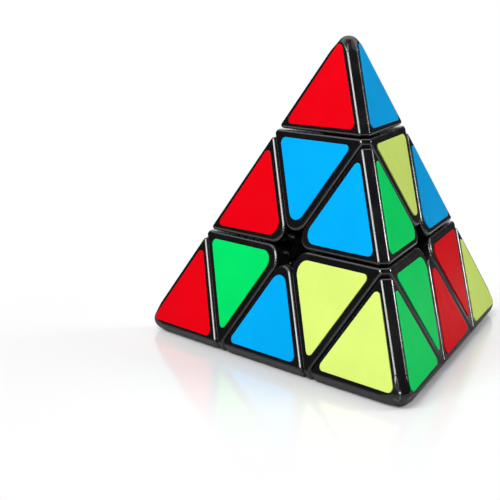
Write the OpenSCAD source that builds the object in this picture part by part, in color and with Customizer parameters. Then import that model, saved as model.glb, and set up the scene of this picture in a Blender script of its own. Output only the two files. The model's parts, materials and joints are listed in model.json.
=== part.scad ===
// Pyramid twisty puzzle: four tips, four axial pieces and six edge pieces on a four-armed core.
// The frame has its origin where the four turning axes cross, +Z through the top corner.
// Lengths are in millimetres.

/* [Pyramid] */
// Length of an edge of the pyramid, measured between the sharp corners before rounding
sharp_edge = 102; // [98:1:106]
// Distance from the centre to the cut below each tip
tip_cut = 33.8; // [33.6:0.1:34.6]
// Width of the narrow flat along each of the six edges
edge_flat = 2.6; // [2.4:0.1:3.2]
// Length removed from each sharp corner, along its axis
corner_cut = 5.6; // [5:0.1:6.5]
// Distance by which the pieces stop short of the middle of each face
hole_cut = 4.3; // [3.6:0.1:5]

/* [Fits] */
// Gap between neighbouring pieces
piece_gap = 0.3; // [0.2:0.05:0.4]
// Radial play between a core arm and the stem that turns on it
arm_play = 0.1; // [0.05:0.05:0.2]
// Play of the tip's spigot in its socket
spigot_play = 0.3; // [0.2:0.05:0.4]
// Play between a tip's cap and the plate that closes it
cap_play = 0.05; // [0.05:0.05:0.1]

/* [Mechanism] */
// Radius of the ball-shaped hollow that holds the feet
ball_r = 16.5; // [16:0.1:17]
// Distance from the centre to the planes that cut the feet
foot_cut = 2.7; // [2.5:0.1:2.8]
// Radius of the hollow in the middle of the feet
foot_inner_r = 8.6; // [8.4:0.1:9]
// Radius of the ball in the middle of the core
core_r = 8; // [7:0.1:8]
// Radius of a core arm
arm_r = 3.6; // [3.4:0.1:3.7]
// Outer radius of an axial piece's stem
stem_r = 5.3; // [5:0.1:5.4]
// Radius of the socket in an axial piece
socket_r = 6.5; // [6.3:0.1:6.8]
// Wall thickness of a tip's cap
cap_wall = 1.8; // [1.6:0.1:2]

/* [Screws and springs] */
// Radius of a screw's shank
shank_r = 1.5; // [1.3:0.1:1.5]
// Radius of a screw's head and of its washer
head_r = 3.4; // [3.2:0.1:3.5]
// Radius of the spring, to the middle of its wire
spring_r = 2.6; // [2.5:0.05:2.7]
// Radius of the spring's wire
wire_r = 0.45; // [0.4:0.05:0.5]
// Turns of each spring
spring_turns = 5.5; // [4.5:0.5:6]

/* [Stickers] */
// Height of a sticker's face above the plastic
sticker_t = 0.2; // [0.15:0.05:0.3]
// Thickness of the adhesive under a sticker, which is left out
glue_t = 0.01; // [0.01:0.01:0.02]
// Border between a sticker and a turning cut
layer_border = 2.05; // [1.8:0.05:2.3]
// Border between a sticker and the cut below a tip
tip_border = 1.85; // [1.6:0.05:2.1]
// Border between a sticker and the sharp edge of the pyramid
edge_border = 3.35; // [3.1:0.05:3.6]
// Radius of a sticker's ordinary corners
sticker_r = 1.2; // [0.8:0.1:1.4]
// Radius of the sticker corner that points at the middle of a face
inner_corner_r = 2.8; // [2:0.1:3]

/* [Hidden] */
// A tetrahedron's own angles: from a corner's axis to another corner, to a face and to an edge
corner_tilt = acos(-1 / 3);
face_tilt = acos(1 / 3);
edge_tilt = corner_tilt / 2;
apex_d = sharp_edge * sqrt(6) / 4;
face_d = apex_d / 3;
mid_edge_d = sharp_edge / sqrt(8);
// Each layer is a third of the pyramid's height, so the turning cuts meet in the middle of each face
layer_cut = face_d / 3;
half_gap = piece_gap / 2;
edge_flat_d = mid_edge_d - edge_flat / 2 / tan(face_tilt / 2);
corner_d = apex_d - corner_cut;
block = 4 * sharp_edge;
// Places along a turning axis, from the core outwards
core_play = 0.8;
stem_start = core_r + core_play;
arm_start = core_r / 2;
arm_end = 22.2;
floor_t = 2;
axial_floor = [arm_end + piece_gap, arm_end + piece_gap + floor_t];
plate_t = 1.5;
spigot_floor = [axial_floor[1] + piece_gap, axial_floor[1] + piece_gap + plate_t];
spring_play = 0.15;
spring_length = 9.6;
washer_t = 0.7;
spring_start = spigot_floor[1] + spring_play;
washer_start = spring_start + spring_length;
head_start = washer_start + washer_t;
head_t = 2.4;
screw_depth = 7;
recess_w = 0.9;
recess_d = 1.3;
recess_reach = head_r * 0.6;
thread_play = 0.05;
arm_bore_r = shank_r + thread_play;
screw_play = 0.2;
clear_hole_r = shank_r + screw_play;
spigot_r = socket_r - spigot_play;
spigot_wall = 2;
over = 1;
round_steps = 96;
wire_sides = 6;
wire_steps = 10;
arc_steps = 8;
// Sizes in the plane of a face, from its middle
face_scale = sin(face_tilt);
tip_line = (tip_cut - layer_cut) / face_scale;
edge_line = sharp_edge / sqrt(12);

CORNERS = ["top", "front", "left", "right"];
TURNS = [[0, 0, 90], [0, corner_tilt, -90], [0, corner_tilt, 150], [0, corner_tilt, 30]];
// The other corners as each corner sees them, at 60, 180 and 300 degrees round its axis
AROUND = [["left", "front", "right"], ["right", "top", "left"], ["front", "top", "right"], ["left", "top", "front"]];
SIDES = [60, 180, 300];

RED = [0.86, 0.02, 0.08];
BLUE = [0, 0.6, 0.92];
GREEN = [0, 0.82, 0.36];
YELLOW = [0.88, 0.97, 0.42];
BLACK = [0.07, 0.07, 0.08];
DARK = [0.16, 0.16, 0.18];
STEEL = [0.72, 0.73, 0.75];

// ---- Directions and frames ----

// Each face is named for its place, and lies opposite one corner
function opposite(face) =
    face == "left_face" ? "right" : face == "right_face" ? "left" : face == "back_face" ? "front" : "top";

function index_of(corner) = search([corner], CORNERS)[0];

// The angle round a corner's axis at which another corner lies
function side_angle(corner, other) = SIDES[search([other], AROUND[index_of(corner)])[0]];

function direction(corner) =
    let (turn = TURNS[index_of(corner)])
    [sin(turn[1]) * cos(turn[2]), sin(turn[1]) * sin(turn[2]), cos(turn[1])];

function unit(v) = v / norm(v);

// Children drawn about +Z come out about a corner's axis
module along(corner) {
    rotate(TURNS[index_of(corner)]) children();
}

// Children drawn about +Z come out about the middle of the edge between two corners, X towards the first
module across(first, second) {
    a = direction(first);
    b = direction(second);
    x = unit(a - b);
    z = unit(a + b);
    y = cross(z, x);
    multmatrix([[x[0], y[0], z[0], 0], [x[1], y[1], z[1], 0], [x[2], y[2], z[2], 0]]) children();
}

// Children drawn on the XY plane come out on a face, about its middle, with X towards one of its corners
module on_face(corner, face) {
    along(corner)
        rotate([0, face_tilt, side_angle(corner, opposite(face)) + 180])
            rotate([0, 0, 180])
                translate([0, 0, face_d])
                    children();
}

// Everything on the near side of a plane at distance d along a direction
module behind(tilt, turn, d) {
    rotate([0, tilt, turn])
        translate([-block / 2, -block / 2, d - block])
            cube(block);
}

// ---- Outer shapes ----

// The pyramid's three faces about a corner, the flats along its edges, and two cuts across its axis
module corner_layer(from, to, inset) {
    intersection() {
        behind(face_tilt, 0, face_d - inset);
        behind(face_tilt, 120, face_d - inset);
        behind(face_tilt, 240, face_d - inset);
        behind(edge_tilt, 60, edge_flat_d - inset);
        behind(edge_tilt, 180, edge_flat_d - inset);
        behind(edge_tilt, 300, edge_flat_d - inset);
        behind(180, 0, -from);
        behind(0, 0, to);
    }
}

module axial_block() {
    intersection() {
        corner_layer(layer_cut + half_gap, tip_cut - half_gap, 0);
        behind(corner_tilt, 60, layer_cut - half_gap);
        behind(corner_tilt, 180, layer_cut - half_gap);
        behind(corner_tilt, 300, layer_cut - half_gap);
        behind(270 - corner_tilt, 0, -hole_cut);
        behind(270 - corner_tilt, 120, -hole_cut);
        behind(270 - corner_tilt, 240, -hole_cut);
    }
}

module edge_block() {
    intersection() {
        behind(edge_tilt, 90, face_d);
        behind(edge_tilt, 270, face_d);
        behind(0, 0, edge_flat_d);
        behind(180 - edge_tilt, 180, -layer_cut - half_gap);
        behind(180 - edge_tilt, 0, -layer_cut - half_gap);
        behind(90 + edge_tilt, 90, -hole_cut);
        behind(90 + edge_tilt, 270, -hole_cut);
    }
}

// ---- Core, screws, springs and washers ----

module core_spider() {
    color(DARK)
        difference() {
            union() {
                sphere(r = core_r, $fn = round_steps);
                for (corner = CORNERS)
                    along(corner)
                        translate([0, 0, arm_start])
                            cylinder(r = arm_r, h = arm_end - arm_start, $fn = round_steps);
            }
            for (corner = CORNERS)
                along(corner)
                    translate([0, 0, screw_depth - over])
                        cylinder(r = arm_bore_r, h = arm_end - screw_depth + 2 * over, $fn = round_steps);
        }
}

module screw() {
    difference() {
        union() {
            translate([0, 0, screw_depth])
                cylinder(r = shank_r, h = head_start - screw_depth + head_t / 2, $fn = round_steps);
            translate([0, 0, head_start])
                cylinder(r = head_r, h = head_t, $fn = round_steps);
        }
        translate([0, 0, head_start + head_t - recess_d]) {
            translate([-recess_reach, -recess_w / 2, 0])
                cube([2 * recess_reach, recess_w, recess_d + over]);
            translate([-recess_w / 2, -recess_reach, 0])
                cube([recess_w, 2 * recess_reach, recess_d + over]);
        }
    }
}

module tension_screws() {
    color(STEEL)
        for (corner = CORNERS)
            along(corner) screw();
}

// One ring of the wire, a share of the way up the spring
function wire_ring(share) =
    let (turn = 360 * spring_turns * share)
    let (height = spring_start + wire_r + share * (washer_start - spring_start - 2 * wire_r))
    [for (k = [0:wire_sides - 1])
        let (a = 360 * k / wire_sides)
        let (r = spring_r + wire_r * cos(a))
        [r * cos(turn), r * sin(turn), height + wire_r * sin(a)]];

module spring() {
    rings = spring_turns * wire_steps;
    points = [for (i = [0:rings]) each wire_ring(i / rings)];
    walls = [for (i = [0:rings - 1], k = [0:wire_sides - 1])
        let (a = i * wire_sides + k)
        let (b = i * wire_sides + (k + 1) % wire_sides)
        [a, a + wire_sides, b + wire_sides, b]];
    ends = [
        [for (k = [0:wire_sides - 1]) k],
        [for (k = [0:wire_sides - 1]) (rings + 1) * wire_sides - 1 - k]
    ];
    polyhedron(points, concat(walls, ends));
}

module tension_springs() {
    color(STEEL)
        for (corner = CORNERS)
            along(corner) spring();
}

module spring_washers() {
    color(STEEL)
        for (corner = CORNERS)
            along(corner)
                translate([0, 0, washer_start])
                    difference() {
                        cylinder(r = head_r, h = head_start - washer_start, $fn = round_steps);
                        translate([0, 0, -over])
                            cylinder(r = clear_hole_r, h = 3 * over, $fn = round_steps);
                    }
}

// ---- Tips ----

module tip_cap(corner) {
    color(BLACK)
        along(corner)
            difference() {
                corner_layer(tip_cut + half_gap, corner_d, 0);
                corner_layer(tip_cut - over, corner_d - cap_wall, cap_wall);
            }
}

// A triangular plate closes the cap, and its spigot turns in the axial piece's socket
module tip_base(corner) {
    plate_start = tip_cut + half_gap;
    color(BLACK)
        along(corner)
            difference() {
                union() {
                    corner_layer(plate_start, plate_start + plate_t, cap_wall + cap_play);
                    translate([0, 0, spigot_floor[0]])
                        cylinder(r = spigot_r, h = plate_start + plate_t / 2 - spigot_floor[0], $fn = round_steps);
                }
                translate([0, 0, spigot_floor[1]])
                    cylinder(r = spigot_r - spigot_wall, h = block, $fn = round_steps);
                translate([0, 0, spigot_floor[0] - over])
                    cylinder(r = clear_hole_r, h = block, $fn = round_steps);
            }
}

// ---- Axial and edge pieces ----

// The outer block is hollowed by the ball, and its stem runs down through the hollow onto a core arm
module axial(corner) {
    color(BLACK)
        along(corner)
            difference() {
                union() {
                    difference() {
                        axial_block();
                        sphere(r = ball_r + half_gap, $fn = round_steps);
                    }
                    translate([0, 0, stem_start])
                        cylinder(r = stem_r, h = axial_floor[0] - stem_start, $fn = round_steps);
                }
                translate([0, 0, stem_start - over])
                    cylinder(r = arm_r + arm_play, h = axial_floor[0] - stem_start + over, $fn = round_steps);
                translate([0, 0, stem_start])
                    cylinder(r = clear_hole_r, h = block, $fn = round_steps);
                translate([0, 0, axial_floor[1]])
                    cylinder(r = socket_r, h = block, $fn = round_steps);
            }
}

// The foot lies inside the ball, under both axial pieces, and a neck joins it to the outer block
module edge(first, second) {
    color(BLACK)
        across(first, second)
            union() {
                difference() {
                    edge_block();
                    sphere(r = ball_r + half_gap, $fn = round_steps);
                }
                intersection() {
                    edge_block();
                    behind(180 - edge_tilt, 90, foot_cut - half_gap);
                    behind(180 - edge_tilt, 270, foot_cut - half_gap);
                }
                difference() {
                    intersection() {
                        sphere(r = ball_r - half_gap, $fn = round_steps);
                        behind(180 - edge_tilt, 180, -foot_cut - half_gap);
                        behind(180 - edge_tilt, 0, -foot_cut - half_gap);
                        behind(180 - edge_tilt, 90, foot_cut - half_gap);
                        behind(180 - edge_tilt, 270, foot_cut - half_gap);
                    }
                    sphere(r = foot_inner_r, $fn = round_steps);
                }
            }
}

// ---- Stickers ----

// An arc round a corner whose two sides meet at 60 degrees; out is the way the corner points
function corner_arc(p, out, r) =
    let (middle = p - 2 * r * [cos(out), sin(out)])
    [for (k = [0:arc_steps])
        let (a = out - 60 + 120 * k / arc_steps)
        middle + r * [cos(a), sin(a)]];

// An equilateral triangle from its apex to the line of its base, both on the X axis, with rounded corners
module rounded_triangle(apex_x, base_x, apex_r, base_r) {
    out = apex_x > base_x ? 0 : 180;
    middle = [(apex_x + 2 * base_x) / 3, 0];
    reach = abs(apex_x - base_x) * 2 / 3;
    translate([0, 0, glue_t])
        linear_extrude(sticker_t - glue_t)
            polygon([for (k = [0:2])
                let (a = out + 120 * k)
                each corner_arc(middle + reach * [cos(a), sin(a)], a, k == 0 ? apex_r : base_r)]);
}

module tip_sticker(corner, face, hue) {
    color(hue)
        on_face(corner, face)
            rounded_triangle(2 * (edge_line - edge_border), tip_line + tip_border, sticker_r, sticker_r);
}

module axial_sticker(corner, face, hue) {
    color(hue)
        on_face(corner, face)
            rounded_triangle(2 * layer_border, tip_line - tip_border, inner_corner_r, sticker_r);
}

// An edge piece's sticker points away from the face's third corner
module edge_sticker(third_corner, face, hue) {
    color(hue)
        on_face(third_corner, face)
            rotate([0, 0, 180])
                rounded_triangle(2 * layer_border, edge_line - edge_border, inner_corner_r, sticker_r);
}

// ---- The assembly ----

core_spider();
tension_screws();
tension_springs();
spring_washers();

tip_cap("top");  // tip_cap_top
tip_cap("front");  // tip_cap_front
tip_cap("left");  // tip_cap_left
tip_cap("right");  // tip_cap_right
tip_base("top");  // tip_base_top
tip_base("front");  // tip_base_front
tip_base("left");  // tip_base_left
tip_base("right");  // tip_base_right

axial("top");  // axial_top
axial("front");  // axial_front
axial("left");  // axial_left
axial("right");  // axial_right
edge("top", "left");  // edge_top_left
edge("top", "front");  // edge_top_front
edge("top", "right");  // edge_top_right
edge("left", "front");  // edge_left_front
edge("front", "right");  // edge_front_right
edge("right", "left");  // edge_right_left

tip_sticker("top", "left_face", RED);  // sticker_tip_top_left_face
tip_sticker("top", "right_face", BLUE);  // sticker_tip_top_right_face
tip_sticker("top", "back_face", YELLOW);  // sticker_tip_top_back_face
tip_sticker("front", "left_face", YELLOW);  // sticker_tip_front_left_face
tip_sticker("front", "right_face", GREEN);  // sticker_tip_front_right_face
tip_sticker("front", "base_face", BLUE);  // sticker_tip_front_base_face
tip_sticker("left", "left_face", RED);  // sticker_tip_left_left_face
tip_sticker("left", "back_face", GREEN);  // sticker_tip_left_back_face
tip_sticker("left", "base_face", BLUE);  // sticker_tip_left_base_face
tip_sticker("right", "right_face", YELLOW);  // sticker_tip_right_right_face
tip_sticker("right", "back_face", RED);  // sticker_tip_right_back_face
tip_sticker("right", "base_face", GREEN);  // sticker_tip_right_base_face

axial_sticker("top", "left_face", BLUE);  // sticker_axial_top_left_face
axial_sticker("top", "right_face", YELLOW);  // sticker_axial_top_right_face
axial_sticker("top", "back_face", RED);  // sticker_axial_top_back_face
axial_sticker("front", "left_face", YELLOW);  // sticker_axial_front_left_face
axial_sticker("front", "right_face", GREEN);  // sticker_axial_front_right_face
axial_sticker("front", "base_face", BLUE);  // sticker_axial_front_base_face
axial_sticker("left", "left_face", GREEN);  // sticker_axial_left_left_face
axial_sticker("left", "back_face", BLUE);  // sticker_axial_left_back_face
axial_sticker("left", "base_face", RED);  // sticker_axial_left_base_face
axial_sticker("right", "right_face", RED);  // sticker_axial_right_right_face
axial_sticker("right", "back_face", GREEN);  // sticker_axial_right_back_face
axial_sticker("right", "base_face", YELLOW);  // sticker_axial_right_base_face

edge_sticker("front", "left_face", RED);  // sticker_edge_top_left_left_face
edge_sticker("right", "back_face", YELLOW);  // sticker_edge_top_left_back_face
edge_sticker("left", "left_face", BLUE);  // sticker_edge_top_front_left_face
edge_sticker("right", "right_face", GREEN);  // sticker_edge_top_front_right_face
edge_sticker("front", "right_face", BLUE);  // sticker_edge_top_right_right_face
edge_sticker("left", "back_face", YELLOW);  // sticker_edge_top_right_back_face
edge_sticker("top", "left_face", BLUE);  // sticker_edge_left_front_left_face
edge_sticker("right", "base_face", RED);  // sticker_edge_left_front_base_face
edge_sticker("top", "right_face", RED);  // sticker_edge_front_right_right_face
edge_sticker("left", "base_face", GREEN);  // sticker_edge_front_right_base_face
edge_sticker("top", "back_face", GREEN);  // sticker_edge_right_left_back_face
edge_sticker("front", "base_face", YELLOW);  // sticker_edge_right_left_base_face
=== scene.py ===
"""A pyramid twisty puzzle of glossy black plastic with vinyl stickers, standing on a pale floor.

Each piece is worked out in its own frame, with +Z along the axis that it belongs to, and is then
turned to its place round the centre of the puzzle. Lengths are in metres.
"""
import json
import logging
import math
from dataclasses import dataclass
from enum import Enum
from itertools import combinations
from typing import Optional, Union

import bmesh
import bpy
import numpy as np
from mathutils import Matrix, Vector


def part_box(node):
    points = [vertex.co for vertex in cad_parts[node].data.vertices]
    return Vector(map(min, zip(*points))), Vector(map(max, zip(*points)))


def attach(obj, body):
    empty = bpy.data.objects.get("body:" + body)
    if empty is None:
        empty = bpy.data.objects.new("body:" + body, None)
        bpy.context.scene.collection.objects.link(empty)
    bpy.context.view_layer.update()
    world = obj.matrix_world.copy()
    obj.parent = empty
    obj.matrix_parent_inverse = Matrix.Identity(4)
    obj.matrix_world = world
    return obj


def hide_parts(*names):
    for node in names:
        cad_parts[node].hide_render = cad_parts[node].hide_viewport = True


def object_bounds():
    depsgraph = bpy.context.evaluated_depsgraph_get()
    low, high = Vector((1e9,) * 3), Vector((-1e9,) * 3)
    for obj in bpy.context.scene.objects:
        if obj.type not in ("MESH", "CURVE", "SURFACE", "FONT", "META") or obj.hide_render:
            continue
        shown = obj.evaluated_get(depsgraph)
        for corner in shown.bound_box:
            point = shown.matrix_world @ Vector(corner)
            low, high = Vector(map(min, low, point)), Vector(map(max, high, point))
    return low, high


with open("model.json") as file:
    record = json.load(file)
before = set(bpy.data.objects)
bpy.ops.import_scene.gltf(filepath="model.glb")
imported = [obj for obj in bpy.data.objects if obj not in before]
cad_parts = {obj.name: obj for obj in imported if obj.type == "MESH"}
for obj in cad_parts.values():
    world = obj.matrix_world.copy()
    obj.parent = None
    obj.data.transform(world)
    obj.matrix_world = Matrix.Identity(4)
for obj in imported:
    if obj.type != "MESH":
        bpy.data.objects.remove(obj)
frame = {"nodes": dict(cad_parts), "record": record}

CAD_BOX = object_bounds()
LOG = logging.getLogger("puzzle")
MM = 0.001
# A tetrahedron's own angles: from a corner's axis to another corner, to a face and to an edge
CORNER_TILT = math.acos(-1 / 3)
FACE_TILT = math.acos(1 / 3)
EDGE_TILT = CORNER_TILT / 2
# How far the turning cuts lean from square to the faces
CUT_LEAN = math.pi / 2 - FACE_TILT
# Points closer together than this are welded into one
WELD = 0.001 * MM
# Slack of the tests whether a point lies on a plane or behind it
TOUCH = 0.0001 * MM
# Three planes whose normals span less than this are taken to have no common point
LEAST_SPAN = 1e-5
# The steps round an edge and from the middle of a round corner to its rim
ARC_STEP = math.radians(15)
FAN_STEP = math.radians(20)
WHITE = (1, 1, 1, 1)


def polar(tilt: float, turn: float) -> np.ndarray:
    """A direction that leans from +Z by tilt, towards the compass angle turn.

    Args:
        tilt: Angle from +Z, in radians.
        turn: Angle round +Z from +X, in radians.

    Returns:
        The unit vector.
    """
    return np.array([math.sin(tilt) * math.cos(turn), math.sin(tilt) * math.sin(turn), math.cos(tilt)])


def unit(vector: np.ndarray) -> np.ndarray:
    """The vector, or each row of an array of vectors, at length 1."""
    return vector / np.linalg.norm(vector, axis=-1, keepdims=True)


class Corner(Enum):
    """A corner of the pyramid, as the tilt and turn of its axis in degrees."""

    TOP = (0.0, 90.0)
    FRONT = (math.degrees(CORNER_TILT), -90.0)
    LEFT = (math.degrees(CORNER_TILT), 150.0)
    RIGHT = (math.degrees(CORNER_TILT), 30.0)

    @property
    def word(self) -> str:
        """The corner's name as the CAD nodes write it."""
        return self.name.lower()

    @property
    def axis(self) -> np.ndarray:
        """The direction from the centre to the corner."""
        return self.rotation[:, 2]

    @property
    def rotation(self) -> np.ndarray:
        """The matrix that turns +Z to the corner's axis: about Y by the tilt, then about Z by the turn."""
        tilt, turn = (math.radians(angle) for angle in self.value)
        return np.array(Matrix.Rotation(turn, 3, "Z") @ Matrix.Rotation(tilt, 3, "Y"))


class Face(Enum):
    """A face of the pyramid, as the corner that it lies opposite."""

    LEFT_FACE = Corner.RIGHT
    RIGHT_FACE = Corner.LEFT
    BACK_FACE = Corner.FRONT
    BASE_FACE = Corner.TOP

    @property
    def word(self) -> str:
        """The face's name as the CAD nodes write it."""
        return self.name.lower()

    @property
    def corners(self) -> list[Corner]:
        """The three corners of the face."""
        return [corner for corner in Corner if corner is not self.value]

    def axes(self, towards: np.ndarray) -> np.ndarray:
        """The face's own axes.

        Args:
            towards: A direction whose part along the face becomes X.

        Returns:
            A matrix whose columns are X and Y along the face and Z out of it.
        """
        out = -self.value.axis
        along = unit(towards - towards.dot(out) * out)
        return np.column_stack([along, np.cross(out, along), out])


EDGE_PAIRS = (
    (Corner.TOP, Corner.LEFT), (Corner.TOP, Corner.FRONT), (Corner.TOP, Corner.RIGHT),
    (Corner.LEFT, Corner.FRONT), (Corner.FRONT, Corner.RIGHT), (Corner.RIGHT, Corner.LEFT),
)


@dataclass(frozen=True)
class Sizes:
    """The puzzle's sizes: those that the CAD model shows are read from it, the others are its own values.

    Attributes:
        half_gap: Half of the gap between neighbouring pieces.
        face_d: Distance from the centre to a face.
        corner_d: Distance from the centre to the blunt end of a corner.
        tip_cut: Distance from the centre to the cut below a tip.
        sticker_t: Thickness of a sticker.
        foot_cut: Distance from the centre to the planes that cut the feet.
        stem_start: Height at which an axial piece's stem begins.
        arm_end: Height at which a core arm ends.
        socket_floor: Height of the floor of an axial piece's socket.
    """

    half_gap: float
    face_d: float
    corner_d: float
    tip_cut: float
    sticker_t: float
    foot_cut: float
    stem_start: float
    arm_end: float
    socket_floor: float
    edge_flat: float = 2.6 * MM
    hole_cut: float = 4.3 * MM
    ball_r: float = 16.5 * MM
    foot_inner_r: float = 8.6 * MM
    arm_bore_r: float = 3.7 * MM
    screw_hole_r: float = 1.7 * MM
    stem_r: float = 5.3 * MM
    socket_r: float = 6.5 * MM
    cap_wall: float = 1.8 * MM
    layer_border: float = 2.05 * MM
    tip_border: float = 1.85 * MM
    edge_border: float = 3.35 * MM
    sticker_r: float = 1.2 * MM
    inner_corner_r: float = 2.8 * MM

    @classmethod
    def read(cls) -> "Sizes":
        """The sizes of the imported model, from the boxes of its nodes.

        Returns:
            The sizes.
        """
        tip_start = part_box("tip_cap_top")[0].z
        axial_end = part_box("axial_top")[1].z
        half_gap = (tip_start - axial_end) / 2
        face_d = -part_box("tip_cap_front")[0].z
        return cls(
            half_gap=half_gap,
            face_d=face_d,
            corner_d=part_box("tip_cap_top")[1].z,
            tip_cut=(tip_start + axial_end) / 2,
            sticker_t=-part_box("sticker_tip_front_base_face")[0].z - face_d,
            foot_cut=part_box("edge_top_front")[0].z - half_gap,
            stem_start=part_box("axial_top")[0].z,
            arm_end=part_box("core_spider")[1].z,
            socket_floor=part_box("tip_base_top")[0].z - 2 * half_gap,
        )

    @property
    def sharp_edge(self) -> float:
        """Length of an edge between the sharp corners."""
        return self.face_d * 12 / math.sqrt(6)

    @property
    def layer_cut(self) -> float:
        """Distance from the centre to a turning cut."""
        return self.face_d / 3

    @property
    def edge_flat_d(self) -> float:
        """Distance from the centre to the flats along the edges."""
        return self.sharp_edge / math.sqrt(8) - self.edge_flat / 2 / math.tan(FACE_TILT / 2)

    @property
    def nose_r(self) -> float:
        """Radius of a blunt corner, which touches the three faces and ends at corner_d."""
        return (3 * self.face_d - self.corner_d) / 2

    @property
    def tip_line(self) -> float:
        """Distance from the middle of a face to the cut below a tip."""
        return (self.tip_cut - self.layer_cut) / math.sin(FACE_TILT)

    @property
    def edge_line(self) -> float:
        """Distance from the middle of a face to one of its edges."""
        return self.sharp_edge / math.sqrt(12)


# ---- Shapes ----


@dataclass
class Shape:
    """A surface as points and the faces that join them."""

    points: np.ndarray
    faces: list

    def mesh(self, name: str) -> bpy.types.Mesh:
        """The shape as a welded mesh.

        Args:
            name: Name of the mesh.

        Returns:
            The mesh.
        """
        made = bpy.data.meshes.new(name)
        made.from_pydata(self.points, [], self.faces)
        tool = bmesh.new()
        tool.from_mesh(made)
        bmesh.ops.remove_doubles(tool, verts=tool.verts, dist=WELD)
        tool.to_mesh(made)
        tool.free()
        return made


def grid_faces(rows: int, columns: int, start: int = 0) -> list:
    """The quads of a grid of points that are numbered row by row.

    Args:
        rows: Number of rows of points.
        columns: Number of points in a row.
        start: Number of the first point.

    Returns:
        The quads, as lists of four numbers.
    """
    first = start + np.arange((rows - 1) * columns).reshape(rows - 1, columns)[:, :-1].ravel()
    return np.column_stack([first, first + 1, first + columns + 1, first + columns]).tolist()


def arc(start: np.ndarray, end: np.ndarray) -> np.ndarray:
    """Directions from one unit vector to another: both are weighted by the sine of the angle still to go.

    Args:
        start: The first direction.
        end: The last direction.

    Returns:
        The directions, one per row, no more than about ARC_STEP apart.
    """
    angle = math.acos(max(-1.0, min(1.0, float(start.dot(end)))))
    share = np.linspace(0, 1, max(1, round(angle / ARC_STEP)) + 1)[:, None]
    return (np.sin((1 - share) * angle) * start + np.sin(share * angle) * end) / math.sin(angle)


def shrunk_corners(planes: np.ndarray) -> np.ndarray:
    """The corners of the solid behind all the planes: every three planes are solved for their common
    point, and the points that lie behind all the others are kept, each once.

    Args:
        planes: A normal and a distance from the centre per row.

    Returns:
        The corners, one per row.
    """
    normals, reach = planes[:, :3], planes[:, 3]
    threes = np.array(list(combinations(range(len(planes)), 3)))
    threes = threes[np.abs(np.linalg.det(normals[threes])) > LEAST_SPAN]
    points = np.linalg.solve(normals[threes], reach[threes][..., None])[..., 0]
    points = points[(points @ normals.T <= reach + TOUCH).all(axis=1)]
    kept = np.unique(np.round(points / (10 * TOUCH)), axis=0, return_index=True)[1]
    return points[np.sort(kept)]


def round_order(points: np.ndarray, out: np.ndarray) -> np.ndarray:
    """The order of points round their middle, anticlockwise as seen from where out points to.

    Args:
        points: The points, one per row.
        out: The direction towards the eye.

    Returns:
        The numbers of the points in that order.
    """
    side = unit(np.cross(out, [0.31, 0.67, 0.68]))
    flat = points - points.mean(axis=0)
    return np.argsort(np.arctan2(flat @ np.cross(out, side), flat @ side))


def rounded_solid(planes: list, fillet: float) -> Shape:
    """The solid behind all the planes, with every edge and corner rounded by a rolling ball.

    The planes are moved in by the ball's radius, which gives a smaller solid. Its faces, moved out
    again, are the flats. A strip of arcs between two normals runs along each of its edges, and a
    piece of the ball closes each of its corners.

    Args:
        planes: Pairs of a normal and a distance from the centre.
        fillet: Radius of the ball.

    Returns:
        The closed surface. Its flats face outwards. Its strips and corner pieces are wound the other way.
    """
    table = np.array([[*unit(np.asarray(normal, float)), distance - fillet] for normal, distance in planes])
    corners = shrunk_corners(table)
    on_plane = np.abs(corners @ table[:, :3].T - table[:, 3]) < 20 * TOUCH
    points, faces, sides, count = [], [], {}, 0
    for plane, normal in enumerate(table[:, :3]):
        around = np.flatnonzero(on_plane[:, plane])
        if len(around) < 3:
            on_plane[:, plane] = False
            continue
        around = around[round_order(corners[around], normal)]
        points.append(corners[around] + fillet * normal)
        faces.append(list(range(count, count + len(around))))
        count += len(around)
        sides.update({pair: normal for pair in zip(around.tolist(), np.roll(around, -1).tolist())})
    for (first, second), normal in sides.items():
        if first < second:
            bend = fillet * arc(normal, sides[second, first])
            points.append(np.concatenate([corners[second] + bend, corners[first] + bend]))
            faces += grid_faces(2, len(bend), count)
            count += 2 * len(bend)
    for corner, held in zip(corners, on_plane):
        normals = table[held, :3]
        middle = unit(normals.mean(axis=0))
        normals = normals[round_order(normals, middle)]
        rim = np.concatenate([arc(a, b) for a, b in zip(normals, np.roll(normals, -1, axis=0))])
        widest = math.acos(min(1.0, float((rim @ middle).min())))
        rings = np.linspace(0, 1, max(1, round(widest / FAN_STEP)) + 1)[:, None, None]
        patch = unit((1 - rings) * middle + rings * rim)
        points.append(corner + fillet * patch.reshape(-1, 3))
        faces += grid_faces(*patch.shape[:2], count)
        count += patch.shape[0] * patch.shape[1]
    return Shape(np.concatenate(points), faces)


def lathe(profile: list, steps: int = 96) -> Shape:
    """A profile carried once round the Z axis. Each point keeps its height and its distance from the
    axis, and the first and last points of the profile lie on the axis.

    Args:
        profile: Pairs of a radius and a height, from the bottom to the top.
        steps: Number of steps in a turn.

    Returns:
        The closed surface.
    """
    outline = np.array(profile)
    turns = np.linspace(0, 2 * math.pi, steps + 1)
    turns[-1] = 0
    radius, height = outline[:, 0][:, None], outline[:, 1][:, None]
    points = np.stack([radius * np.cos(turns), radius * np.sin(turns), height + 0 * turns], axis=-1)
    return Shape(points.reshape(-1, 3), grid_faces(len(outline), steps + 1))


def ball(radius: float, steps: int = 96) -> Shape:
    """A ball about the centre: a half circle from the bottom to the top, carried round the Z axis."""
    rise = np.linspace(-math.pi / 2, math.pi / 2, steps // 2 + 1)
    reach = radius * np.cos(rise)
    reach[[0, -1]] = 0
    return lathe(np.column_stack([reach, radius * np.sin(rise)]), steps)


class Join(Enum):
    """What is done with a second solid."""

    ADD = "UNION"
    CUT = "DIFFERENCE"
    KEEP = "INTERSECT"


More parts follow.
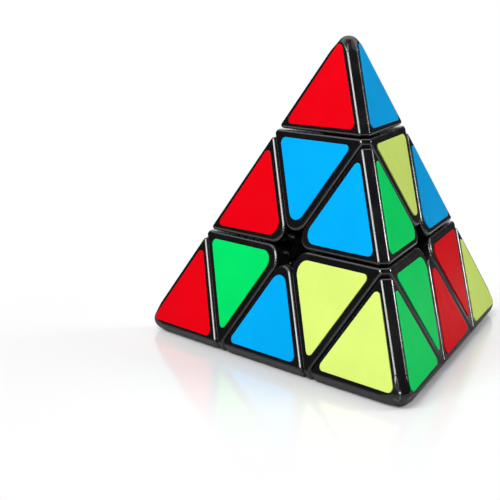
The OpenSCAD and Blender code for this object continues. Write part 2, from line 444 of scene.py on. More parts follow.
def joined(first: bpy.types.Mesh, how: Join, second: Shape) -> bpy.types.Mesh:
    """One solid added to, cut from or kept of another.

    Args:
        first: The mesh to work on.
        how: What is done with the second solid.
        second: The second solid.

    Returns:
        A new mesh, in place of the first.
    """
    scene = bpy.context.scene.collection
    base = bpy.data.objects.new("base", first)
    tool = bpy.data.objects.new("tool", second.mesh("tool"))
    scene.objects.link(base)
    scene.objects.link(tool)
    change = base.modifiers.new("join", "BOOLEAN")
    change.solver = "EXACT"
    change.operation = how.value
    change.object = tool
    graph = bpy.context.evaluated_depsgraph_get()
    made = bpy.data.meshes.new_from_object(base.evaluated_get(graph))
    bpy.data.objects.remove(base)
    bpy.data.objects.remove(tool)
    return made


# ---- Materials ----


class Value:
    """A number on the surface. Sums of values add their own Math nodes."""

    def __init__(self, graph: "Graph", socket: bpy.types.NodeSocket) -> None:
        """Wraps an output socket of the graph."""
        self.graph = graph
        self.socket = socket

    def maths(self, operation: str, first: "Number", second: "Number" = 0.0) -> "Value":
        """A Math node.

        Args:
            operation: The node's operation.
            first: Its first value.
            second: Its second value.

        Returns:
            The node's result.
        """
        made = self.graph.node("ShaderNodeMath", {"operation": operation}, {0: first, 1: second})
        return Value(self.graph, made)

    def __add__(self, other: "Number") -> "Value":
        """self + other."""
        return self.maths("ADD", self, other)

    __radd__ = __add__

    def __mul__(self, other: "Number") -> "Value":
        """self * other."""
        return self.maths("MULTIPLY", self, other)

    __rmul__ = __mul__

    def __sub__(self, other: "Number") -> "Value":
        """self - other."""
        return self.maths("SUBTRACT", self, other)

    def __rsub__(self, other: "Number") -> "Value":
        """other - self."""
        return self.maths("SUBTRACT", other, self)

    def ramp(self, low: float, high: float) -> "Value":
        """The value's place between low and high, as a smooth step from 0 to 1.

        Args:
            low: Where the step starts.
            high: Where the step ends.

        Returns:
            The step.
        """
        settings = {"interpolation_type": "SMOOTHSTEP"}
        inputs = {"Value": self, "From Min": low, "From Max": high}
        return Value(self.graph, self.graph.node("ShaderNodeMapRange", settings, inputs))


Number = Union[Value, float]


class Graph:
    """The nodes of one material or of the world."""

    def __init__(self, tree: bpy.types.NodeTree) -> None:
        """Empties the tree."""
        self.tree = tree
        tree.nodes.clear()

    def node(
        self,
        kind: str,
        settings: Optional[dict] = None,
        inputs: Optional[dict] = None,
        output: Union[int, str] = 0,
    ) -> Union[bpy.types.NodeSocket, bpy.types.Node]:
        """Any node: its settings are made first, and then its sockets are set or linked.

        Args:
            kind: The node's type.
            settings: Its settings by name.
            inputs: Numbers, colours, values or sockets, by the name or number of the socket.
            output: The output to hand back.

        Returns:
            The output socket, or the node where it has none.
        """
        made = self.tree.nodes.new(kind)
        for name, setting in (settings or {}).items():
            setattr(made, name, setting)
        for name, given in (inputs or {}).items():
            if isinstance(given, Value):
                given = given.socket
            if isinstance(given, bpy.types.NodeSocket):
                self.tree.links.new(given, made.inputs[name])
            else:
                made.inputs[name].default_value = given
        return made.outputs[output] if made.outputs else made

    def place(self) -> bpy.types.NodeSocket:
        """The point of the surface, in the puzzle's own frame."""
        return self.node("ShaderNodeTexCoord", output="Object")

    def noise(self, size: float, detail: float = 2.0, stretch: tuple = (1.0, 1.0, 1.0)) -> Value:
        """Soft noise between 0 and 1.

        Args:
            size: Width of its features, in metres.
            detail: Number of finer layers.
            stretch: Share of the noise's density along X, Y and Z.

        Returns:
            The noise.
        """
        where = self.node("ShaderNodeMapping", {}, {"Vector": self.place(), "Scale": stretch})
        made = self.node("ShaderNodeTexNoise", {}, {"Vector": where, "Scale": 1 / size, "Detail": detail})
        return Value(self, made)

    def attribute(self, name: str) -> Value:
        """A number that the mesh holds at each of its points."""
        return Value(self, self.node("ShaderNodeAttribute", {"attribute_name": name}, output="Fac"))

    def blend(self, factor: Number, first: tuple, second: tuple) -> bpy.types.NodeSocket:
        """A colour between two colours.

        Args:
            factor: 0 for the first colour and 1 for the second.
            first: The first colour, in linear light.
            second: The second colour, in linear light.

        Returns:
            The colour.
        """
        return self.node(
            "ShaderNodeMixRGB", {}, {"Fac": factor, "Color1": (*first, 1.0), "Color2": (*second, 1.0)}
        )

    def bump(self, height: Value, depth: float, strength: float = 1.0) -> bpy.types.NodeSocket:
        """The surface's normal over a height pattern.

        Args:
            height: The pattern, from 0 to 1.
            depth: The height that 1 stands for, in metres.
            strength: Share of the effect.

        Returns:
            The normal.
        """
        return self.node("ShaderNodeBump", {}, {"Height": height, "Distance": depth, "Strength": strength})

    def principled(self, **inputs: object) -> None:
        """Ends the graph in a Principled shader.

        Args:
            inputs: The shader's sockets by name, with _ for a space.
        """
        named = {name.replace("_", " "): given for name, given in inputs.items()}
        surface = self.node("ShaderNodeBsdfPrincipled", {}, named)
        self.node("ShaderNodeOutputMaterial", {}, {"Surface": surface})


def new_material(name: str) -> tuple:
    """A material and the graph of its nodes.

    Args:
        name: Name of the material.

    Returns:
        The material and its empty graph.
    """
    made = bpy.data.materials.new(name)
    made.use_nodes = True
    return made, Graph(made.node_tree)


WEAR = "wear"
RIM = "rim"


@dataclass(frozen=True)
class MouldedPlastic:
    """Glossy moulded plastic: faint smudges, fine scratches and slightly rubbed edges.

    Attributes:
        tint: Colour in linear light.
        gloss: Roughness where it is cleanest.
        dull: Extra roughness where it is smudged.
        rubbed: Extra roughness on its edges.
        ripple: Depth of the uneven mould surface, in metres.
    """

    tint: tuple = (0.0035, 0.0035, 0.0045)
    gloss: float = 0.13
    dull: float = 0.10
    rubbed: float = 0.10
    ripple: float = 0.004 * MM

    def make(self, name: str) -> bpy.types.Material:
        """The material, under the given name."""
        made, graph = new_material(name)
        smudge = graph.noise(9 * MM, 4).ramp(0.42, 0.68)
        scratch = graph.noise(0.5 * MM, 3, (1.0, 0.12, 0.6)).ramp(0.58, 0.75)
        rub = graph.attribute(WEAR) * graph.noise(1.6 * MM, 4).ramp(0.35, 0.7)
        dust = graph.noise(0.25 * MM, 2).ramp(0.66, 0.8) * smudge
        lighter = tuple(channel * 2.6 + 0.004 for channel in self.tint)
        graph.principled(
            Base_Color=graph.blend(rub * 0.7 + dust * 0.3, self.tint, lighter),
            Roughness=self.gloss + smudge * self.dull + scratch * 0.05 + rub * self.rubbed,
            Normal=graph.bump(graph.noise(3.5 * MM, 3) + scratch * 0.08, self.ripple, 0.6),
            IOR=1.6,
            Specular_IOR_Level=1.0,
        )
        return made


@dataclass(frozen=True)
class Vinyl:
    """Self-adhesive vinyl: even colour, a faint pebble, a few handling marks and a darker cut rim.

    Attributes:
        tint: Colour in linear light.
        gloss: Roughness where it is cleanest.
        pebble: Depth of the pebbled surface, in metres.
    """

    tint: tuple
    gloss: float = 0.34
    pebble: float = 0.0025 * MM

    def make(self, name: str) -> bpy.types.Material:
        """The material, under the given name."""
        made, graph = new_material(name)
        tone = graph.noise(14 * MM, 3).ramp(0.3, 0.7)
        grain = graph.noise(0.35 * MM, 3)
        handled = graph.noise(6 * MM, 5).ramp(0.5, 0.75)
        darker = tuple(channel * 0.94 for channel in self.tint)
        rim = tuple(channel * 0.55 for channel in self.tint)
        cut = graph.attribute(RIM).ramp(0.2, 0.9)
        flat = graph.blend(tone, darker, self.tint)
        face = graph.node("ShaderNodeMixRGB", {}, {"Fac": cut, "Color1": flat, "Color2": (*rim, 1.0)})
        graph.principled(
            Base_Color=face,
            Roughness=self.gloss + handled * 0.10 + grain * 0.06,
            Normal=graph.bump(grain * 0.5 + graph.noise(4 * MM, 2), self.pebble, 0.5),
            IOR=1.46,
            Specular_IOR_Level=0.08,
        )
        return made


@dataclass(frozen=True)
class SatinNylon:
    """Satin nylon with a fine moulded grain.

    Attributes:
        tint: Colour in linear light.
    """

    tint: tuple = (0.03, 0.03, 0.034)

    def make(self, name: str) -> bpy.types.Material:
        """The material, under the given name."""
        made, graph = new_material(name)
        grain = graph.noise(0.3 * MM, 4)
        cloud = graph.noise(5 * MM, 3)
        lighter = tuple(channel * 1.5 for channel in self.tint)
        graph.principled(
            Base_Color=graph.blend(cloud, self.tint, lighter),
            Roughness=0.38 + grain * 0.2,
            Normal=graph.bump(grain, 0.01 * MM, 0.5),
            IOR=1.5,
        )
        return made


@dataclass(frozen=True)
class Steel:
    """Plated or drawn steel with fine streaks and dull spots.

    Attributes:
        tint: Colour in linear light.
        gloss: Roughness where it is brightest.
        streak: Length of the streaks over their width.
    """

    tint: tuple = (0.6, 0.6, 0.62)
    gloss: float = 0.16
    streak: float = 8.0

    def make(self, name: str) -> bpy.types.Material:
        """The material, under the given name."""
        made, graph = new_material(name)
        streaks = graph.noise(0.2 * MM, 3, (1.0, 1.0, 1.0 / self.streak))
        spots = graph.noise(1.5 * MM, 4).ramp(0.45, 0.75)
        dull = tuple(channel * 0.72 for channel in self.tint)
        graph.principled(
            Base_Color=graph.blend(spots, self.tint, dull),
            Metallic=1.0,
            Roughness=self.gloss + streaks * 0.14 + spots * 0.12,
            Normal=graph.bump(streaks, 0.004 * MM, 0.4),
        )
        return made


FINISHES = {
    "black_plastic": MouldedPlastic(),
    "inner_plastic": MouldedPlastic(tint=(0.006, 0.006, 0.007), gloss=0.24, dull=0.14),
    "core_plastic": SatinNylon(),
    "screw_steel": Steel(tint=(0.66, 0.66, 0.68), gloss=0.12, streak=3.0),
    "spring_steel": Steel(tint=(0.5, 0.5, 0.52), gloss=0.2),
    "washer_steel": Steel(tint=(0.58, 0.58, 0.6), gloss=0.22),
    "sticker_red": Vinyl(tint=(0.84, 0.0, 0.006)),
    "sticker_blue": Vinyl(tint=(0.0, 0.43, 0.95)),
    "sticker_green": Vinyl(tint=(0.0, 0.80, 0.15)),
    "sticker_yellow": Vinyl(tint=(0.76, 0.96, 0.20)),
}


class Wardrobe:
    """The materials, one for each slot of the record."""

    def __init__(self) -> None:
        """Makes every finish once."""
        self.made = {slot: finish.make(slot + "_finish") for slot, finish in FINISHES.items()}

    def dress(self, piece: bpy.types.Object, slot: str) -> None:
        """Gives a piece the finish of a slot.

        Args:
            piece: The piece.
            slot: The slot's name.
        """
        piece.data.materials.clear()
        piece.data.materials.append(self.made[slot])

    def dress_nodes(self) -> None:
        """Gives every CAD node the finish of its own slot."""
        for node in frame["nodes"].values():
            for place in node.material_slots:
                place.material = self.made[slot_of(node.name)]


SLOTS = {name: node.material_slots[0].material.name for name, node in frame["nodes"].items()}
BODIES = {node: body for body, nodes in frame["record"]["behaviour"]["bodies"].items() for node in nodes}


def slot_of(node: str) -> str:
    """The record's material slot of a CAD node."""
    return SLOTS[node]


def put(name: str, mesh: bpy.types.Mesh, node: str, wardrobe: Wardrobe) -> bpy.types.Object:
    """Stands a finished piece in for a CAD node.

    Args:
        name: Name of the piece.
        mesh: Its mesh, in place.
        node: The CAD node that it replaces.
        wardrobe: The materials.

    Returns:
        The piece.
    """
    piece = bpy.data.objects.new(name, mesh)
    mesh.name = name
    bpy.context.scene.collection.objects.link(piece)
    wardrobe.dress(piece, slot_of(node))
    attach(piece, BODIES[node])
    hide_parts(node)
    LOG.info("%s rides on %s with %d faces", name, BODIES[node], len(mesh.polygons))
    return piece


# ---- The black pieces ----


@dataclass
class BlackPiece:
    """What the tips, axial pieces and edge pieces have in common.

    Attributes:
        sizes: The puzzle's sizes.
        wardrobe: The materials.
        fillet: Radius of the rounded outer edges.
        inner_fillet: Radius of the edges that don't show when the puzzle is at rest.
        crease: The least angle that stays a sharp edge.
    """

    sizes: Sizes
    wardrobe: Wardrobe
    fillet: float = 0.75 * MM
    inner_fillet: float = 0.35 * MM
    crease: float = math.radians(32)

    def hole_corner(self, face: np.ndarray, lean: float) -> list:
        """The planes of the round corner that points at the middle of a face. On the face they touch an
        arc of 120 degrees that joins the two neighbouring cuts. The middle one stands square to the
        face, and towards either end they lean more, until they meet the cuts.

        Args:
            face: Columns X, towards the piece, Y, and Z, out of the face.
            lean: How far the cuts lean out of the face, in radians.

        Returns:
            Pairs of a normal and a distance.
        """
        s = self.sizes
        radius = s.hole_cut - 2 * s.half_gap / math.sin(FACE_TILT)
        middle = face[:, 0] * (s.hole_cut + radius) + face[:, 2] * s.face_d
        planes = []
        for angle in np.radians(np.arange(-52.5, 53, 7.5)):
            side = face[:, 1] * math.sin(angle) - face[:, 0] * math.cos(angle)
            tilt = lean * abs(angle) / math.radians(60)
            normal = side * math.cos(tilt) + face[:, 2] * math.sin(tilt)
            planes.append((normal, normal.dot(middle + radius * side)))
        return planes

    def finish(self, mesh: bpy.types.Mesh, planes: list) -> bpy.types.Mesh:
        """Marks the sharp edges, and the rounded ones as rubbed: a point of a rounded edge lies
        behind every plane.

        Args:
            mesh: The mesh.
            planes: The planes that the outside was made from.

        Returns:
            The mesh.
        """
        mesh.polygons.foreach_set("use_smooth", np.ones(len(mesh.polygons), bool))
        mesh.set_sharp_from_angle(angle=self.crease)
        points = np.empty(len(mesh.vertices) * 3)
        mesh.vertices.foreach_get("co", points)
        table = np.array([[*unit(np.asarray(n, float)), d] for n, d in planes])
        depth = (table[:, 3] - points.reshape(-1, 3) @ table[:, :3].T).min(axis=1)
        worn = (depth > 0.01 * self.fillet) & (depth < 0.8 * self.fillet)
        mesh.attributes.new(WEAR, "FLOAT", "POINT").data.foreach_set("value", worn.astype(np.float32))
        return mesh

    def stand(self, name: str, mesh: bpy.types.Mesh, rotation: np.ndarray, node: str) -> bpy.types.Object:
        """Turns a copy of the mesh to its place, and stands it in for its CAD node.

        Args:
            name: Name of the piece.
            mesh: The mesh in its own frame.
            rotation: The matrix that turns it to its place.
            node: The CAD node.

        Returns:
            The piece.
        """
        copy = mesh.copy()
        copy.transform(Matrix(rotation).to_4x4())
        piece = put(name, copy, node, self.wardrobe)
        even = piece.modifiers.new("even_normals", "WEIGHTED_NORMAL")
        even.keep_sharp = True
        return piece


@dataclass
class CornerPiece(BlackPiece):
    """A piece on a corner's axis. In its own frame the axis is +Z, and the other corners lie round it.

    Attributes:
        sides: Directions of the three other corners.
    """

    @property
    def sides(self) -> list:
        """Directions of the three other corners."""
        return [polar(CORNER_TILT, math.radians(turn)) for turn in (60, 180, 300)]

    def layer(self, start: float, end: float, inset: float) -> list:
        """The planes of the pyramid's corner between two heights.

        Args:
            start: The lower height.
            end: The upper height.
            inset: How far the faces and the flats along the edges are moved in.

        Returns:
            Pairs of a normal and a distance.
        """
        up = np.array([0.0, 0.0, 1.0])
        return (
            [(-side, self.sizes.face_d - inset) for side in self.sides]
            + [(unit(up + side), self.sizes.edge_flat_d - inset) for side in self.sides]
            + [(-up, -start), (up, end)]
        )


@dataclass
class Tips(CornerPiece):
    """The four hollow tip caps, each with a blunt round corner.

    Attributes:
        nose_rings: The lean in degrees and the number of the planes, for each ring round the corner.
    """

    nose_rings: tuple = ((10, 6), (20, 12), (30, 18), (40, 24), (50, 24))

    def nose(self) -> list:
        """The planes that touch the ball of the blunt corner, in rings that lean more and more.

        Returns:
            Pairs of a normal and a distance.
        """
        radius = self.sizes.nose_r
        middle = self.sizes.corner_d - radius
        planes = []
        for degrees, count in self.nose_rings:
            lean = math.radians(degrees)
            reach = middle * math.cos(lean) + radius
            planes += [(polar(lean, 2 * math.pi * (k + 0.5) / count), reach) for k in range(count)]
        return planes

    def shell(self) -> bpy.types.Mesh:
        """The cap: a rounded corner of the pyramid, hollow from below."""
        s = self.sizes
        start = s.tip_cut + s.half_gap
        outside = self.layer(start, s.corner_d, 0.0) + self.nose()
        hollow = self.layer(start - s.cap_wall, s.corner_d - s.cap_wall, s.cap_wall)
        mesh = rounded_solid(outside, self.fillet).mesh("tip")
        mesh = joined(mesh, Join.CUT, rounded_solid(hollow, self.inner_fillet))
        return self.finish(mesh, outside)

    def build(self) -> None:
        """Makes the four caps."""
        mesh = self.shell()
        for corner in Corner:
            self.stand(f"tip_{corner.word}_shell", mesh, corner.rotation, f"tip_cap_{corner.word}")


@dataclass
class Axials(CornerPiece):
    """The four axial pieces: a hollowed block, a stem that turns on the core, a socket for the tip.

    Attributes:
        chamfer: Width of the bevel on the stem and round the socket.
    """

    chamfer: float = 0.3 * MM

    def block(self) -> list:
        """The planes of the outer block.

        Returns:
            Pairs of a normal and a distance.
        """
        s = self.sizes
        planes = self.layer(s.layer_cut + s.half_gap, s.tip_cut - s.half_gap, 0.0)
        planes += [(side, s.layer_cut - s.half_gap) for side in self.sides]
        for side in self.sides:
            along = unit(np.array([0.0, 0.0, 1.0]) - side[2] * side)
            planes += self.hole_corner(np.column_stack([along, np.cross(-side, along), -side]), CUT_LEAN)
        return planes

    def bore(self) -> Shape:
        """The stepped hole through the piece: the core arm's bore, the screw's hole and the tip's socket."""
        s, c = self.sizes, self.chamfer
        low, high = s.stem_start - s.cap_wall, s.tip_cut - s.half_gap
        arm_top = s.arm_end + 2 * s.half_gap
        return lathe([
            (0, low), (s.arm_bore_r + c, low),
            (s.arm_bore_r + c, s.stem_start), (s.arm_bore_r, s.stem_start + c),
            (s.arm_bore_r, arm_top), (s.screw_hole_r, arm_top), (s.screw_hole_r, s.socket_floor),
            (s.socket_r, s.socket_floor), (s.socket_r, high - c), (s.socket_r + c, high),
            (s.socket_r + c, high + s.cap_wall), (0, high + s.cap_wall),
        ])

    def stem(self) -> Shape:
        """The outside of the stem, which ends inside the block."""
        s, c = self.sizes, self.chamfer
        top = s.ball_r + 2 * s.cap_wall
        foot = [(0, s.stem_start), (s.stem_r - c, s.stem_start), (s.stem_r, s.stem_start + c)]
        return lathe(foot + [(s.stem_r, top), (0, top)])

    def body(self) -> bpy.types.Mesh:
        """The whole piece."""
        s = self.sizes
        planes = self.block()
        mesh = rounded_solid(planes, self.fillet).mesh("axial")
        mesh = joined(mesh, Join.CUT, ball(s.ball_r + s.half_gap))
        mesh = joined(mesh, Join.ADD, self.stem())
        mesh = joined(mesh, Join.CUT, self.bore())
        return self.finish(mesh, planes)

    def build(self) -> None:
        """Makes the four pieces."""
        mesh = self.body()
        for corner in Corner:
            self.stand(f"axial_{corner.word}_block", mesh, corner.rotation, f"axial_{corner.word}")


@dataclass
class Edges(BlackPiece):
    """The six edge pieces: a block, and a foot that the core's ball space holds. In a piece's own
    frame +Z goes out through its edge, and X runs towards its first corner."""

    @property
    def held(self) -> list:
        """Directions of the two corners that the edge joins."""
        return [polar(EDGE_TILT, 0.0), polar(EDGE_TILT, math.pi)]

    @property
    def others(self) -> list:
        """Directions of the two other corners."""
        return [polar(math.pi - EDGE_TILT, turn) for turn in (math.pi / 2, -math.pi / 2)]

    def block(self) -> list:
        """The planes of the outer block.

        Returns:
            Pairs of a normal and a distance.
        """
        s = self.sizes
        up = np.array([0.0, 0.0, 1.0])
        planes = [(-other, s.face_d) for other in self.others] + [(up, s.edge_flat_d)]
        planes += [(-held, -s.layer_cut - s.half_gap) for held in self.held]
        for other in self.others:
            along = unit(up - other[2] * other)
            planes += self.hole_corner(np.column_stack([along, np.cross(-other, along), -other]), -CUT_LEAN)
        return planes

    def foot(self) -> bpy.types.Mesh:
        """The foot: a wedge between the planes of the feet, kept within the ball and hollowed inside."""
        s = self.sizes
        wedge = [(-held, -s.foot_cut - s.half_gap) for held in self.held]
        wedge += [(other, s.foot_cut - s.half_gap) for other in self.others]
        wedge += [(np.array([0.0, 0.0, 1.0]), s.face_d)]
        mesh = rounded_solid(wedge, self.inner_fillet).mesh("foot")
        mesh = joined(mesh, Join.KEEP, ball(s.ball_r - s.half_gap))
        return joined(mesh, Join.CUT, ball(s.foot_inner_r))

    def neck(self) -> Shape:
        """The neck, which joins the foot to the block and ends inside it."""
        s = self.sizes
        inset = [(normal, distance - self.inner_fillet) for normal, distance in self.block()]
        inset += [(other, s.foot_cut - s.half_gap) for other in self.others]
        inset += [(np.array([0.0, 0.0, 1.0]), s.face_d + s.cap_wall)]
        return rounded_solid(inset, self.inner_fillet / 2)

    def body(self) -> bpy.types.Mesh:
        """The whole piece."""
        s = self.sizes
        planes = self.block()
        mesh = rounded_solid(planes, self.fillet).mesh("edge")
        mesh = joined(mesh, Join.CUT, ball(s.ball_r + s.half_gap))
        mesh = joined(mesh, Join.ADD, self.neck())
        foot = self.foot()
        points = np.empty(len(foot.vertices) * 3)
        foot.vertices.foreach_get("co", points)
        shape = Shape(points.reshape(-1, 3), [list(face.vertices) for face in foot.polygons])
        mesh = joined(mesh, Join.ADD, shape)
        return self.finish(mesh, planes)

    def build(self) -> None:
        """Makes the six pieces."""
        mesh = self.body()
        for first, second in EDGE_PAIRS:
            along = unit(first.axis - second.axis)
            out = unit(first.axis + second.axis)
            rotation = np.column_stack([along, np.cross(out, along), out])
            name = f"edge_{first.word}_{second.word}"
            self.stand(f"{name}_block", mesh, rotation, name)


# ---- The stickers ----


@dataclass
class Stickers:
    """The 36 vinyl stickers: triangles with round corners, each laid by hand a little off its place.

    Attributes:
        sizes: The puzzle's sizes.
        wardrobe: The materials.
        roll: Radius of the rounded upper rim.
        drift: How far a sticker may lie off its place.
        skew: How far a sticker may be turned off its place, in radians.
    """

    sizes: Sizes
    wardrobe: Wardrobe
    roll: float = 0.07 * MM
    drift: float = 0.22 * MM
    skew: float = math.radians(0.7)

    def __post_init__(self) -> None:
        """Starts the seeded draws of the hand's errors."""
        self.hand = np.random.default_rng(36)

    def outline(self, apex_x: float, base_x: float, apex_r: float) -> tuple:
        """A triangle from its apex to the line of its base, both on the X axis. Each round corner is an
        arc of 120 degrees about a point that lies two radii in from the sharp corner.

        Args:
            apex_x: Place of the sharp apex.
            base_x: Place of the base.
            apex_r: Radius of the corner at the apex.

        Returns:
            The points of the outline, anticlockwise, and the directions out of it.
        """
        middle = np.array([(apex_x + 2 * base_x) / 3, 0.0])
        reach = abs(apex_x - base_x) * 2 / 3
        out = (0.0 if apex_x > base_x else math.pi) + np.radians([0, 120, 240])
        radii = np.array([apex_r, self.sizes.sticker_r, self.sizes.sticker_r])
        sweep = np.radians(np.linspace(-60, 60, 13))
        angles = out[:, None] + sweep
        normals = np.stack([np.cos(angles), np.sin(angles)], axis=-1)
        towards = np.column_stack([np.cos(out), np.sin(out)])
        centres = middle + (reach - 2 * radii)[:, None] * towards
        points = centres[:, None] + radii[:, None, None] * normals
        return points.reshape(-1, 2), normals.reshape(-1, 2)

    def surface(self, outline: tuple) -> Shape:
        """The closed sticker as rings: a flat back, an upright side, a quarter-round rim, and a top that
        shrinks to its middle.

        Args:
            outline: Points and outward directions.

        Returns:
            The surface.
        """
        edge, out = outline
        middle = edge.mean(axis=0)
        bend = np.linspace(0, math.pi / 2, 5)
        inset = np.concatenate([[0], self.roll * (1 - np.cos(bend))])
        height = np.concatenate([[0], self.sizes.sticker_t - self.roll * (1 - np.sin(bend))])
        walls = edge - inset[:, None, None] * out
        share = np.array([0.85, 0.5, 0.0])[:, None, None]
        top = middle + share * (walls[-1] - middle)
        back = middle + np.zeros_like(edge)
        flat = np.concatenate([back[None], walls, top])
        heights = np.concatenate([[0], height, np.full(len(top), self.sizes.sticker_t)])
        rings = np.concatenate([flat, np.broadcast_to(heights[:, None, None], (*flat.shape[:2], 1))], axis=-1)
        closed = np.concatenate([rings, rings[:, :1]], axis=1)
        return Shape(closed.reshape(-1, 3), grid_faces(*closed.shape[:2]))

    def lay(self, kind: str, face: Face, towards: np.ndarray, outline: tuple, node: str) -> None:
        """Makes one sticker and lays it on its face.

        Args:
            kind: The piece that it is on, for its name.
            face: The face that it lies on.
            towards: The direction that becomes X along the face.
            outline: Points and outward directions.
            node: The CAD node that it replaces.
        """
        shape = self.surface(outline)
        slip = self.hand.uniform(-1, 1, 3) * [self.drift, self.drift, self.skew]
        middle = np.append(outline[0].mean(axis=0), 0.0)
        turn = np.array(Matrix.Rotation(slip[2], 3, "Z"))
        flat = (shape.points - middle) @ turn.T + middle + [slip[0], slip[1], 0.0]
        flat[:, 2] += self.sizes.face_d
        mesh = Shape(flat @ face.axes(towards).T, shape.faces).mesh(kind)
        points = np.empty(len(mesh.vertices) * 3)
        mesh.vertices.foreach_get("co", points)
        height = points.reshape(-1, 3) @ -face.value.axis - self.sizes.face_d
        cut = np.clip(1.2 - height / (self.sizes.sticker_t - self.roll), 0, 1)
        mesh.attributes.new(RIM, "FLOAT", "POINT").data.foreach_set("value", cut.astype(np.float32))
        mesh.polygons.foreach_set("use_smooth", np.ones(len(mesh.polygons), bool))
        mesh.set_sharp_from_angle(angle=math.radians(40))
        piece = put(f"{kind}_{face.word}_vinyl", mesh, node, self.wardrobe)
        even = piece.modifiers.new("even_normals", "WEIGHTED_NORMAL")
        even.keep_sharp = True

    def build(self) -> None:
        """Lays the stickers of the tips, the axial pieces and the edge pieces."""
        s = self.sizes
        tip = self.outline(2 * (s.edge_line - s.edge_border), s.tip_line + s.tip_border, s.sticker_r)
        axial = self.outline(2 * s.layer_border, s.tip_line - s.tip_border, s.inner_corner_r)
        edge = self.outline(2 * s.layer_border, s.edge_line - s.edge_border, s.inner_corner_r)
        for face in Face:
            for corner in face.corners:
                where = f"{corner.word}_{face.word}"
                self.lay(f"tip_{corner.word}", face, corner.axis, tip, f"sticker_tip_{where}")
                self.lay(f"axial_{corner.word}", face, corner.axis, axial, f"sticker_axial_{where}")
            for first, second in EDGE_PAIRS:
                if face.value not in (first, second):
                    kind = f"edge_{first.word}_{second.word}"
                    self.lay(kind, face, first.axis + second.axis, edge, f"sticker_{kind}_{face.word}")


# ---- The studio ----


@dataclass(frozen=True)
class Softbox:
    """A soft square lamp that faces the puzzle.

    Attributes:
        name: Name of the lamp.
        azimuth: Compass angle, as the camera's, in degrees.
        elevation: Angle above the horizon, in degrees.
        lean: Turn of its width from level, in degrees.
        distance: Distance from the centre.
        width: Width of the lamp.
        height: Height of the lamp.
        brightness: Radiance of its face.
    """

    name: str
    azimuth: float
    elevation: float
    lean: float
    distance: float
    width: float
    height: float
    brightness: float

    def build(self) -> None:
        """Puts the lamp in place."""
        lamp = bpy.data.lights.new(self.name, "AREA")
        lamp.shape = "RECTANGLE"
        lamp.size = self.width
        lamp.size_y = self.height
        lamp.energy = self.brightness * math.pi * self.width * self.height
        holder = bpy.data.objects.new(self.name, lamp)
        place = compass(self.azimuth, self.elevation) * self.distance
        level = place.to_track_quat("Z", "Y").to_matrix().to_4x4()
        turn = Matrix.Rotation(math.radians(self.lean), 4, "Z")
        holder.matrix_world = Matrix.Translation(place) @ level @ turn
        bpy.context.scene.collection.objects.link(holder)


def compass(azimuth: float, elevation: float) -> Vector:
    """The direction from the centre to a point: azimuth 0 is towards -Y and 90 towards +X.

    Args:
        azimuth: In degrees.
        elevation: Above the horizon, in degrees.

    Returns:
        The unit vector.
    """
    a, e = math.radians(azimuth), math.radians(elevation)
    return Vector((math.sin(a) * math.cos(e), -math.cos(a) * math.cos(e), math.sin(e)))


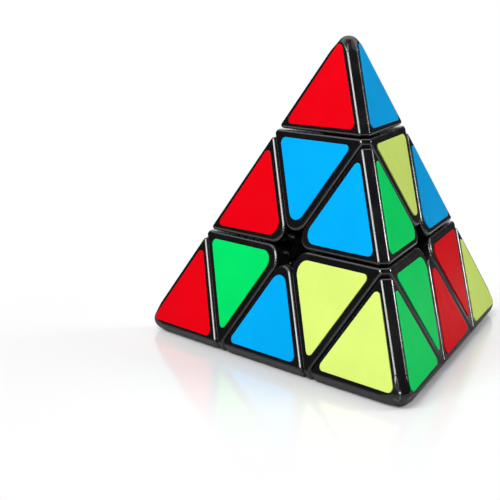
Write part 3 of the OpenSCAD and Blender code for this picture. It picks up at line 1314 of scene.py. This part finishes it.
@dataclass
class Studio:
    """The floor, the white surroundings, the lamps and the camera.

    Attributes:
        floor_z: Height of the floor.
        azimuth: The camera's compass angle.
        elevation: The camera's angle above the horizon.
        distance: The camera's distance from the centre.
        aim: The point that the camera looks at.
        roll: The camera's turn about its own view, in degrees.
        lens: Focal length in millimetres, on a sensor of 36 mm.
        half_floor: Half the width of the floor.
        pale: Distances from the centre between which the floor turns to white, to the eye.
        glow_in: Distances between which the floor that the puzzle reflects lights up.
        glow_out: Distances between which that floor darkens again.
        glow: Share of light where that floor is brightest.
        wall: Cosines from straight ahead of the eye, between which the reflected wall lights up.
        ceiling: Heights between which the reflected ceiling lights up.
        ceiling_start: Cosines from straight ahead, between which the ceiling begins.
        dim: Light of the rest of the reflected room.
        lamps: The lamps.
    """

    floor_z: float
    azimuth: float = -12.90
    elevation: float = 11.97
    distance: float = 0.33638
    aim: tuple = (-0.02415, 0.00443, 0.00380)
    roll: float = 0.626
    lens: float = 96.08
    half_floor: float = 12.0
    pale: tuple = (0.03, 0.125)
    glow_in: tuple = (0.07, 0.14)
    glow_out: tuple = (0.20, 0.30)
    glow: float = 0.6
    wall: tuple = (0.90, 0.97)
    ceiling: tuple = (0.50, 0.62)
    ceiling_start: tuple = (-0.15, 0.05)
    dim: float = 0.03
    lamps: tuple = (
        Softbox("key_lamp", -52, 50, 31, 0.95, 0.76, 0.49, 7.2),
        Softbox("side_lamp", 80, 34, -40, 0.95, 0.48, 0.12, 17.0),
        Softbox("front_lamp", -14, 20, 0, 1.1, 0.30, 0.30, 6.0),
    )

    def floor(self) -> None:
        """A glossy white floor that turns to plain white light away from the puzzle. To everything but the
        eye it has a painted darker shade, so the puzzle's reflections of it are darker, and a ring of it near
        the puzzle glows.
        """
        corners = np.array([[-1, -1], [1, -1], [1, 1], [-1, 1]]) * self.half_floor
        mesh = bpy.data.meshes.new("floor")
        mesh.from_pydata(np.column_stack([corners, np.full(4, self.floor_z)]), [], [[0, 1, 2, 3]])
        floor = bpy.data.objects.new("floor", mesh)
        bpy.context.scene.collection.objects.link(floor)
        made, graph = new_material("floor_gloss")
        seen = Value(graph, graph.node("ShaderNodeLightPath", output="Is Camera Ray"))
        # Painted shade: rays other than the eye's see the floor at 0.30 in place of 0.86, so the puzzle's
        # reflections of the floor are darker.
        floor_tone_darker_in_reflections = graph.blend(seen, (0.30, 0.30, 0.31), (0.86, 0.86, 0.87))
        shine = {"Base Color": floor_tone_darker_in_reflections, "Roughness": 0.12, "IOR": 1.5}
        gloss = graph.node("ShaderNodeBsdfPrincipled", {}, shine)
        light = graph.node("ShaderNodeEmission", {}, {"Color": WHITE, "Strength": 1.0})
        length = {"operation": "LENGTH"}
        away = Value(graph, graph.node("ShaderNodeVectorMath", length, {0: graph.place()}, "Value"))
        pale = away.ramp(*self.pale)
        ring = away.ramp(*self.glow_in) * (self.glow - away.ramp(*self.glow_out) * self.glow)
        share = ring + seen * (pale - ring)
        surface = graph.node("ShaderNodeMixShader", {}, {0: share, 1: gloss, 2: light})
        graph.node("ShaderNodeOutputMaterial", {}, {"Surface": surface})
        mesh.materials.append(made)

    def surroundings(self) -> None:
        """White to the eye. What the gloss reflects is a dim room with a white wall behind the puzzle."""
        world = bpy.data.worlds.new("surroundings")
        bpy.context.scene.world = world
        world.use_nodes = True
        graph = Graph(world.node_tree)
        way = graph.node("ShaderNodeTexCoord", output="Generated")
        ahead = -compass(self.azimuth, 0)
        dot = {"operation": "DOT_PRODUCT"}
        behind = Value(graph, graph.node("ShaderNodeVectorMath", dot, {0: way, 1: ahead}, "Value"))
        height = Value(graph, graph.node("ShaderNodeSeparateXYZ", {}, {0: way}, "Z"))
        wall = behind.ramp(*self.wall)
        ceiling = height.ramp(*self.ceiling) * behind.ramp(*self.ceiling_start)
        bright = (wall + ceiling * (1 - wall)) * (1 - self.dim) + self.dim
        room = graph.node("ShaderNodeBackground", {}, {"Color": WHITE, "Strength": bright})
        white = graph.node("ShaderNodeBackground", {}, {"Color": WHITE, "Strength": 1.0})
        seen = graph.node("ShaderNodeLightPath", output="Is Camera Ray")
        surface = graph.node("ShaderNodeMixShader", {}, {0: seen, 1: room, 2: white})
        graph.node("ShaderNodeOutputWorld", {}, {"Surface": surface})

    def camera(self) -> None:
        """The camera: it stands at its compass angle, and its up direction leans by the roll."""
        place = compass(self.azimuth, self.elevation) * self.distance
        forward = (Vector(self.aim) - place).normalized()
        level = forward.cross(Vector((0, 0, 1))).normalized()
        upright = level.cross(forward)
        lean = math.radians(self.roll)
        up = upright * math.cos(lean) + level * math.sin(lean)
        right = forward.cross(up)
        data = bpy.data.cameras.new("camera")
        data.lens = self.lens
        data.sensor_width = 36.0
        data.clip_start = 0.01
        camera = bpy.data.objects.new("camera", data)
        turn = Matrix((right, up, -forward)).transposed()
        camera.matrix_world = Matrix.Translation(place) @ turn.to_4x4()
        bpy.context.scene.collection.objects.link(camera)
        bpy.context.scene.camera = camera

    def build(self) -> None:
        """Sets up the studio."""
        bpy.context.scene.view_settings.view_transform = "Standard"
        self.floor()
        self.surroundings()
        self.camera()
        for lamp in self.lamps:
            lamp.build()


def main() -> None:
    """Builds the puzzle and the studio."""
    logging.basicConfig(level=logging.INFO, format="%(message)s")
    sizes = Sizes.read()
    wardrobe = Wardrobe()
    wardrobe.dress_nodes()
    Studio(floor_z=CAD_BOX[0].z).build()
    for group in (Tips, Axials, Edges, Stickers):
        group(sizes, wardrobe).build()


if __name__ == "__main__":
    main()
